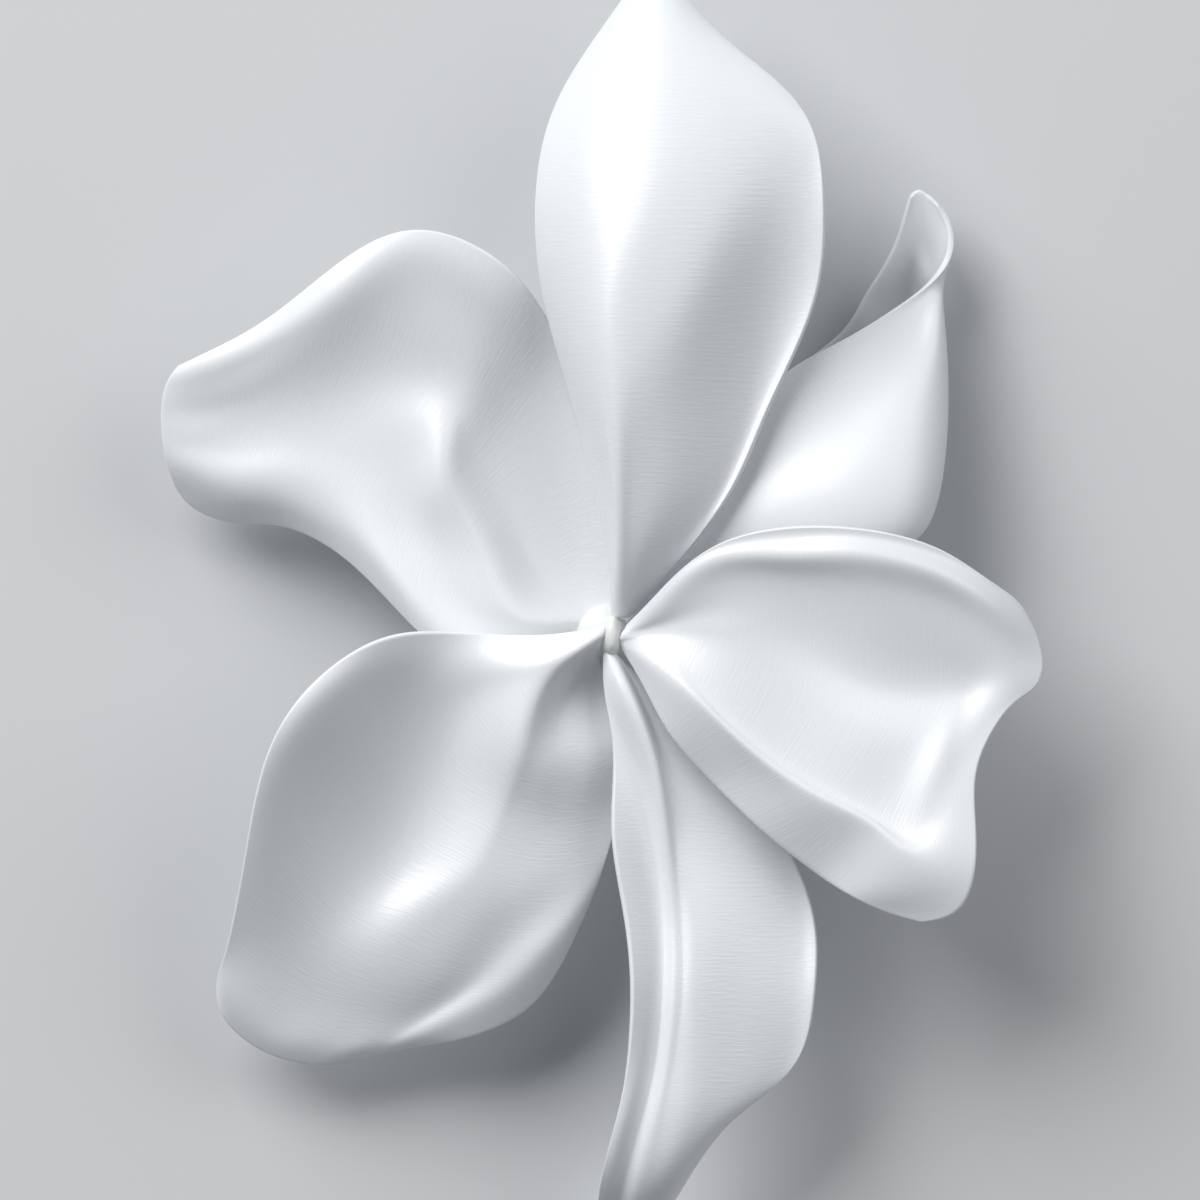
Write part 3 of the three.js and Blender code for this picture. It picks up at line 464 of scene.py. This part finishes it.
petal_lower_left = make_petal("petal_lower_left", PETAL_LOWER_LEFT_LINES)

# %% [markdown]
# ## The left petal
#
# It lies under both its neighbours. A crest runs out from the throat, the lower margin rolls down
# on the near side of it, and the upper margin has a raised lip. Its crest could be left as soft as
# the model's. Here it stands up to half a millimetre prouder, with the hollow beside it a little
# deeper, as only a clear crest catches the light in one streak.

# %% The left petal
PETAL_LEFT_LINES = {
    "lower_margin": [
        (-2.71, 0.48, 8.5), (-6.2, -1.2, 10.1), (-11, -1.2, 10.2), (-14.6, 1.5, 8.8), (-17.4, 4.4, 7.6),
        (-20.2, 6.7, 6.6), (-23.6, 8.2, 5.6), (-27, 8.45, 4.6), (-29.9, 9.5, 4.6), (-31.2, 11.2, 5.6),
    ],
    "lower_roll": [
        (-2.62, 0.85, 8.55), (-6.5, -0.1, 10.4), (-11.3, 0.6, 10.5), (-15, 3.6, 9.8), (-17.6, 6.4, 8.9),
        (-20.4, 8.6, 8), (-23.8, 9.9, 7.4), (-27, 9.9, 6.6), (-29.9, 10.8, 6), (-31.6, 12, 6.1),
    ],
    "lower_face": [
        (-2.47, 1.2, 8.6), (-6.7, 1, 10.5), (-11.1, 2.6, 10.3), (-14.9, 6, 9.6), (-17.4, 8.6, 9.1),
        (-20.2, 10.8, 8.5), (-23.6, 11.8, 8.1), (-26.9, 11.6, 7.6), (-29.8, 12.2, 7), (-31.95, 13, 6.5),
    ],
    "crest_foot": [
        (-2.31, 1.5, 8.6), (-6.6, 1.9, 10.4), (-10.3, 5, 10.4), (-13.7, 8.8, 9.7), (-15.6, 12, 9.3),
        (-19.4, 13.2, 8.6), (-23, 13.8, 8.1), (-26.6, 13.4, 7.6), (-29.7, 13.6, 7.2),
        (-32.15, 14.1, 6.8),
    ],
    "crest": [
        (-2.08, 1.8, 8.4), (-6.1, 2.9, 9.6), (-9.2, 7.1, 10), (-12, 11.1, 10.8), (-13.1, 15.3, 10.3),
        (-17.8, 16.3, 9.1), (-22, 16.4, 8.5), (-26.1, 15.4, 7.8), (-29.5, 14.9, 7.4), (-32.25, 15.2, 7),
    ],
    "upper_slope": [
        (-1.8, 2.07, 8.2), (-5.1, 4.1, 8.3), (-7.7, 8.8, 8.5), (-10.3, 13, 9.6), (-11.6, 17.5, 10.1),
        (-16.4, 19.3, 9.8), (-21, 18.9, 9.4), (-25.6, 17.2, 8.3), (-29.4, 16.2, 7.6),
        (-32.25, 16.3, 7.2),
    ],
    "upper_face": [
        (-1.5, 2.31, 8.1), (-3.7, 5.1, 7.8), (-5.8, 10.3, 7.9), (-8.4, 15.3, 8.8), (-10.3, 20, 10.4),
        (-15.2, 22.4, 10.9), (-20.2, 21.2, 10.5), (-25.2, 18.8, 9), (-29.3, 17.4, 8),
        (-32.15, 17.3, 7.4),
    ],
    "upper_hollow": [
        (-1.2, 2.47, 8.05), (-2.2, 5.9, 7.7), (-3.9, 11.6, 7.7), (-6.6, 17.5, 8.6), (-9.2, 22.4, 10.8),
        (-14.2, 25.2, 11.8), (-19.6, 23.4, 11.6), (-24.9, 20.3, 9.6), (-29.3, 18.5, 8.4),
        (-31.9, 18.2, 7.6),
    ],
    "upper_lip": [
        (-0.7, 2.68, 8), (-0.7, 6.3, 7.7), (-2, 12.8, 7.8), (-4.9, 19.4, 8.7), (-8.2, 24.4, 11.3),
        (-13.6, 27.6, 12.4), (-19.1, 25.4, 12.2), (-24.6, 21.6, 10), (-29.2, 19.5, 8.7),
        (-31.5, 18.9, 7.8),
    ],
    "upper_margin": [
        (0.1, 2.85, 7.95), (0.8, 6.5, 7.7), (-0.3, 13.8, 8), (-3.5, 20.8, 8.9), (-7, 26.2, 11.4),
        (-13, 29.2, 12.3), (-18.7, 27.4, 11.9), (-24.3, 23.1, 9.8), (-29.1, 20.45, 8.6),
        (-30.9, 19.5, 7.9),
    ],
}
petal_left = make_petal("petal_left", PETAL_LEFT_LINES)

# %% [markdown]
# ## The corolla tube
#
# The tube is round in section, flared a little at its cut end and closed above by a small narrow
# nub in the throat. A lathe would do for the tube but not for the nub, which is long and off the
# axis. So each ring of points has its own height, centre and half widths, and bridges of quads join
# the rings from the cut end up.

# %% The rings of the tube
TUBE_SIDES = 24

# Height, centre along x and y, half widths along x and y, in millimetres.
TUBE_RINGS = [
    (0, 0, 0, 2.5, 2.5),
    (0.5, 0, 0, 2.6, 2.6),
    (3.5, 0, 0, 2.35, 2.35),
    (6.5, 0, 0, 2.25, 2.25),
    (8.5, 0, 0, 2.7, 2.7),
    (9.2, 0, 0, 2.65, 2.65),
    (9.8, 0, 0, 2.35, 2.35),
    (10.7, 0, 0, 1.95, 1.95),
    (11.3, -0.02, 0.08, 1.6, 1.7),
    (11.9, -0.03, 0.25, 1.15, 1.5),
    (12.6, -0.03, 0.35, 0.75, 1.4),
    (13.2, -0.03, 0.35, 0.5, 1.15),
    (13.6, -0.03, 0.35, 0.28, 0.75),
]


def place_ring(verts, ring):
    """Moves a unit circle of vertices to a ring of the tube."""
    height, centre_x, centre_y, half_x, half_y = ring
    for vertex in verts:
        direction = vertex.co.xy.normalized()
        vertex.co = MILLIMETRE * Vector(
            (centre_x + half_x * direction.x, centre_y + half_y * direction.y, height)
        )


print("tube:", len(TUBE_RINGS), "rings of", TUBE_SIDES, "points")

# %% The tube, bridged from ring to ring
TUBE_LEVELS = 2


def make_tube():
    """The closed tube, ring by ring from its cut end to the top of the nub."""
    form = bmesh.new()
    ring_edges = []
    for ring in TUBE_RINGS:
        is_end = ring in (TUBE_RINGS[0], TUBE_RINGS[-1])
        circle = bmesh.ops.create_circle(form, cap_ends=is_end, radius=1, segments=TUBE_SIDES)
        place_ring(circle["verts"], ring)
        ring_edges.append({edge for vertex in circle["verts"] for edge in vertex.link_edges})
    for lower, upper in zip(ring_edges, ring_edges[1:]):
        bmesh.ops.bridge_loops(form, edges=list(lower | upper))
    bmesh.ops.recalc_face_normals(form, faces=form.faces)
    tube = piece_from(form, "corolla_tube_skin")
    add_subdivision(tube, "form", TUBE_LEVELS)
    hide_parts("corolla_tube")
    return tube


corolla_tube = make_tube()
print("tube cage:", len(corolla_tube.data.vertices), "vertices")

# %% [markdown]
# ## The satin finish
#
# Petal flesh is white because it is full of tiny air gaps, and its skin is a field of small cells
# in rows that run across the petal. Close up they show as a silky grain. A painted image could
# carry it, but a few nodes stay sharp at any distance. They are a shader node group, because the
# petals and the tube both use them. The group stretches one noise for the height of a bump, and
# spreads a second, broad one for small changes of colour and gloss. On a petal both follow the UV
# map, and on the tube, which has none, its own three axes.

# %% Helpers: shader nodes
def socket_in_use(sockets, name):
    """The one socket of that name that is in use, as a Mix node has several alike."""
    return next(socket for socket in sockets if socket.name == name and socket.enabled)


def new_node(tree, kind, settings=None, inputs=None):
    """A node with its settings made, and its inputs set to a value or linked to an output."""
    node = tree.nodes.new(kind)
    for name, value in (settings or {}).items():
        setattr(node, name, value)
    for name, value in (inputs or {}).items():
        socket = socket_in_use(node.inputs, name)
        if isinstance(value, bpy.types.NodeSocket):
            tree.links.new(value, socket)
        else:
            socket.default_value = value
    return node


print("node helpers ready")

# %% The petal grain group
CELL_SCALE = 1.0
PATCH_SCALE = 4.0
NOISE_DETAIL = 2.0
NOISE_ROUGHNESS = 0.5


def noise_node(group, vector, scale):
    """A soft noise in the group, at a scale along the given vector."""
    return new_node(
        group, "ShaderNodeTexNoise", None,
        {"Vector": vector, "Scale": scale, "Detail": NOISE_DETAIL, "Roughness": NOISE_ROUGHNESS},
    )


def make_grain_group():
    """A silky grain: Height for a bump, and broad Patches for colour and gloss."""
    group = bpy.data.node_groups.new("petal_grain", "ShaderNodeTree")
    interface = group.interface
    interface.new_socket("Vector", in_out="INPUT", socket_type="NodeSocketVector")
    interface.new_socket("Cells", in_out="INPUT", socket_type="NodeSocketVector")
    interface.new_socket("Height", in_out="OUTPUT", socket_type="NodeSocketFloat")
    interface.new_socket("Patches", in_out="OUTPUT", socket_type="NodeSocketFloat")
    entry = new_node(group, "NodeGroupInput")
    stretched = new_node(group, "ShaderNodeVectorMath", {"operation": "MULTIPLY"})
    group.links.new(entry.outputs["Vector"], stretched.inputs[0])
    group.links.new(entry.outputs["Cells"], stretched.inputs[1])
    grain = noise_node(group, stretched.outputs["Vector"], CELL_SCALE)
    patches = noise_node(group, entry.outputs["Vector"], PATCH_SCALE)
    leave = new_node(group, "NodeGroupOutput")
    group.links.new(grain.outputs["Fac"], leave.inputs["Height"])
    group.links.new(patches.outputs["Fac"], leave.inputs["Patches"])
    return group


grain_group = make_grain_group()
print("group", grain_group.name, [item.name for item in grain_group.interface.items_tree])

# %% Helper: a satin material from the group
DULL_ROUGHNESS = 0.41
GLOSSY_ROUGHNESS = 0.35
GRAIN_STRENGTH = 0.3
GRAIN_DEPTH = 0.06 * MILLIMETRE
SKIN_SHINE = 0.8
SKIN_SHEEN = 0.08


def satin_material(name, pattern, cells, bright, shaded):
    """Petal skin: a satin gloss, a fine grain, and broad faint patches of shade.

    The grain follows the given output of a Texture Coordinate node: UV or Object.
    """
    material = bpy.data.materials.new(name)
    material.use_nodes = True
    tree = material.node_tree
    tree.nodes.clear()
    place = new_node(tree, "ShaderNodeTexCoord")
    grain = new_node(
        tree, "ShaderNodeGroup", {"node_tree": grain_group},
        {"Vector": place.outputs[pattern], "Cells": cells},
    )
    colour = new_node(
        tree, "ShaderNodeMix", {"data_type": "RGBA"},
        {"Factor": grain.outputs["Patches"], "A": shaded, "B": bright},
    )
    gloss = new_node(
        tree, "ShaderNodeMapRange", None,
        {"Value": grain.outputs["Patches"], "To Min": DULL_ROUGHNESS, "To Max": GLOSSY_ROUGHNESS},
    )
    bump = new_node(
        tree, "ShaderNodeBump", None,
        {"Height": grain.outputs["Height"], "Strength": GRAIN_STRENGTH, "Distance": GRAIN_DEPTH},
    )
    skin = new_node(
        tree, "ShaderNodeBsdfPrincipled", None,
        {
            "Base Color": socket_in_use(colour.outputs, "Result"),
            "Roughness": gloss.outputs["Result"],
            "Normal": bump.outputs["Normal"],
            "Specular IOR Level": SKIN_SHINE,
            "Sheen Weight": SKIN_SHEEN,
        },
    )
    new_node(tree, "ShaderNodeOutputMaterial", None, {"Surface": skin.outputs["BSDF"]})
    return material


print("satin helper ready, roughness", GLOSSY_ROUGHNESS, "to", DULL_ROUGHNESS)

# %% The two satins
BRIGHT_WHITE = (0.83, 0.85, 0.87, 1)
SHADED_WHITE = (0.77, 0.80, 0.83, 1)
BRIGHT_THROAT = (0.82, 0.84, 0.82, 1)
SHADED_THROAT = (0.77, 0.79, 0.77, 1)

# Cells in the whole width of a petal and in its whole length, and cells in a metre of the tube's
# three axes: long cells that lie across the petal and round the tube.
CELLS_ACROSS_PETAL = (14, 260, 1)
CELLS_ROUND_TUBE = (900, 900, 5000)

petal_satin = satin_material("petal_satin", "UV", CELLS_ACROSS_PETAL, BRIGHT_WHITE, SHADED_WHITE)
tube_satin = satin_material("tube_satin", "Object", CELLS_ROUND_TUBE, BRIGHT_THROAT, SHADED_THROAT)
for petal in (
    petal_top, petal_upper_right, petal_right, petal_bottom, petal_lower_left, petal_left
):
    petal.data.materials.append(petal_satin)
corolla_tube.data.materials.append(tube_satin)
print("materials:", [material.name for material in bpy.data.materials])

# %% [markdown]
# ## Floor and light
#
# The flower lies on a plain pale floor, which throws a little light back up under the petals. White
# satin could be lit evenly from all round, but then its forms would vanish. So one broad soft light
# stands high to the upper left. Every crest that faces it turns white and every slope falls to
# grey, and a fainter one to the upper right and a dim sky keep the shadows open.

# %% The floor
FLOOR_SIDE = 6
FLOOR_GREY = (0.62, 0.63, 0.64, 1)
FLOOR_ROUGHNESS = 0.8
FLOOR_SHINE = 0.2

floor_form = bmesh.new()
bmesh.ops.create_grid(floor_form, x_segments=1, y_segments=1, size=FLOOR_SIDE / 2)
floor_mesh = bpy.data.meshes.new("floor")
floor_form.to_mesh(floor_mesh)
floor_form.free()
floor = linked_object("floor", floor_mesh)
floor_paint = bpy.data.materials.new("floor_paint")
floor_paint.use_nodes = True
floor_skin = floor_paint.node_tree.nodes["Principled BSDF"]
floor_skin.inputs["Base Color"].default_value = FLOOR_GREY
floor_skin.inputs["Roughness"].default_value = FLOOR_ROUGHNESS
floor_skin.inputs["Specular IOR Level"].default_value = FLOOR_SHINE
floor.data.materials.append(floor_paint)
print("floor:", FLOOR_SIDE, "m square")

# %% Helper: a softbox
FLOWER_MIDDLE = (0, 0.002, 0.01)


def add_softbox(name, place, side, power):
    """A square soft light at a place, in metres, that faces the middle of the flower."""
    light = bpy.data.lights.new(name, "AREA")
    light.shape = "SQUARE"
    light.size = side
    light.energy = power
    box = linked_object(name, light)
    box.location = place
    beam = Vector(FLOWER_MIDDLE) - Vector(place)
    box.rotation_euler = beam.to_track_quat("-Z", "Y").to_euler()


print("softbox helper ready, aimed at", FLOWER_MIDDLE)

# %% The lights and the sky
# Places and sides are in metres, powers in watts.
KEY_PLACE = (-0.42, 0.55, 0.6)
KEY_SIDE = 0.6
KEY_POWER = 9.0
FILL_PLACE = (0.55, 0.35, 0.6)
FILL_SIDE = 0.6
FILL_POWER = 1.9
SKY_COLOUR = (0.9, 0.95, 1, 1)
SKY_STRENGTH = 0.17

add_softbox("key", KEY_PLACE, KEY_SIDE, KEY_POWER)
add_softbox("fill", FILL_PLACE, FILL_SIDE, FILL_POWER)
world = bpy.data.worlds.new("studio")
bpy.context.scene.world = world
world.use_nodes = True
sky = world.node_tree.nodes["Background"]
sky.inputs["Color"].default_value = SKY_COLOUR
sky.inputs["Strength"].default_value = SKY_STRENGTH
# The Standard view shows whites as bright as they are, where the default one dulls them.
bpy.context.scene.view_settings.view_transform = "Standard"
print("lights:", [light.name for light in bpy.data.lights])

# %% [markdown]
# ## The camera
#
# The photo looks straight down into the flower, with hardly any perspective. An orthographic camera
# would do that too. A long lens from far above keeps the slight spread that a real one has. The
# named pixel sizes set how much of the flower it sees, so that the picture can be laid over the
# photo.

# %% The camera
# Pixels of the photo, and the pixel that the tube's axis passes through.
PHOTO_SIDE = 1200
PIXELS_PER_MILLIMETRE = 14
ORIGIN_PIXEL = (612, 640)

# The lens and its sensor are in millimetres. The height at which the pixel sizes hold and the
# camera's range are in metres.
LENS = 600
SENSOR = 36
MEASURED_HEIGHT = 0.008
CAMERA_RANGE = 10

view_side = PHOTO_SIDE / PIXELS_PER_MILLIMETRE * MILLIMETRE
view_distance = view_side * LENS / SENSOR
centre_x = (PHOTO_SIDE / 2 - ORIGIN_PIXEL[0]) / PIXELS_PER_MILLIMETRE * MILLIMETRE
centre_y = (ORIGIN_PIXEL[1] - PHOTO_SIDE / 2) / PIXELS_PER_MILLIMETRE * MILLIMETRE
lens = bpy.data.cameras.new("camera")
lens.lens = LENS
lens.sensor_width = SENSOR
lens.clip_end = CAMERA_RANGE
camera = linked_object("camera", lens)
camera.location = (centre_x, centre_y, MEASURED_HEIGHT + view_distance)
bpy.context.scene.camera = camera
print("camera height:", round(camera.location.z, 3), "m")
